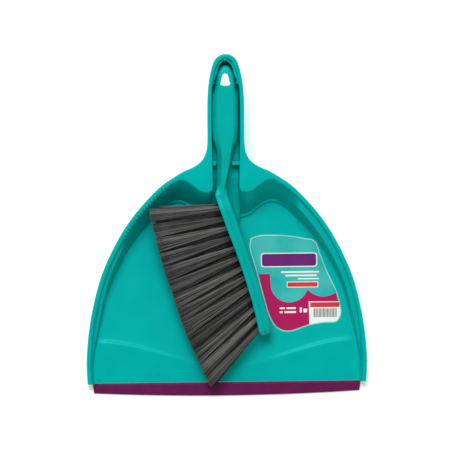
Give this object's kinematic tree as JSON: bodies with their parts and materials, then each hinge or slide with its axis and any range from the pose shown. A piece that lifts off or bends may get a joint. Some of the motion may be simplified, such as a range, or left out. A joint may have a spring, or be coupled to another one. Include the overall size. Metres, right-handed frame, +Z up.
{
  "type": "dust pan and brush set",
  "caption": "Plastic dust pan with a rubber lip and a printed label, and a hand brush that clips into the pan's hollow handle.",
  "frame": {"origin": "centre of the bounding box at its underside, on the surface the set rests on", "axes": "+Z up out of the pan, +Y towards the handle, +X to the right seen from above with the handle away"},
  "size_m": [0.2638, 0.32, 0.0651],
  "materials": {
    "pan_plastic": "injection-moulded polypropylene, turquoise, satin to glossy",
    "lip_rubber": "soft thermoplastic rubber strip, dark plum, satin",
    "label_film": "clear film printed in magenta and white, glossy",
    "brush_plastic": "injection-moulded polypropylene, turquoise, satin",
    "bristle": "dark grey crimped polymer filament"
  },
  "bodies": {
    "dustpan": {"pan": "pan_plastic", "lip": "lip_rubber", "label": "label_film"},
    "brush": {"brush_body": "brush_plastic", "tuft_a01": "bristle", "tuft_a02": "bristle", "tuft_a03": "bristle", "tuft_a04": "bristle", "tuft_a05": "bristle", "tuft_a06": "bristle", "tuft_a07": "bristle", "tuft_a08": "bristle", "tuft_a09": "bristle", "tuft_a10": "bristle", "tuft_a11": "bristle", "tuft_a12": "bristle", "tuft_a13": "bristle", "tuft_b01": "bristle", "tuft_b02": "bristle", "tuft_b03": "bristle", "tuft_b04": "bristle", "tuft_b05": "bristle", "tuft_b06": "bristle", "tuft_b07": "bristle", "tuft_b08": "bristle", "tuft_b09": "bristle", "tuft_b10": "bristle", "tuft_b11": "bristle", "tuft_b12": "bristle", "tuft_c01": "bristle", "tuft_c02": "bristle", "tuft_c03": "bristle", "tuft_c04": "bristle", "tuft_c05": "bristle", "tuft_c06": "bristle", "tuft_c07": "bristle", "tuft_c08": "bristle", "tuft_c09": "bristle", "tuft_c10": "bristle", "tuft_c11": "bristle", "tuft_c12": "bristle", "tuft_c13": "bristle"}
  },
  "joints": [
    {"name": "brush_lift", "type": "slide", "parent": "dustpan", "child": "brush", "axis": [0, 0, 1], "range_m": [0, 0.09]}
  ]
}
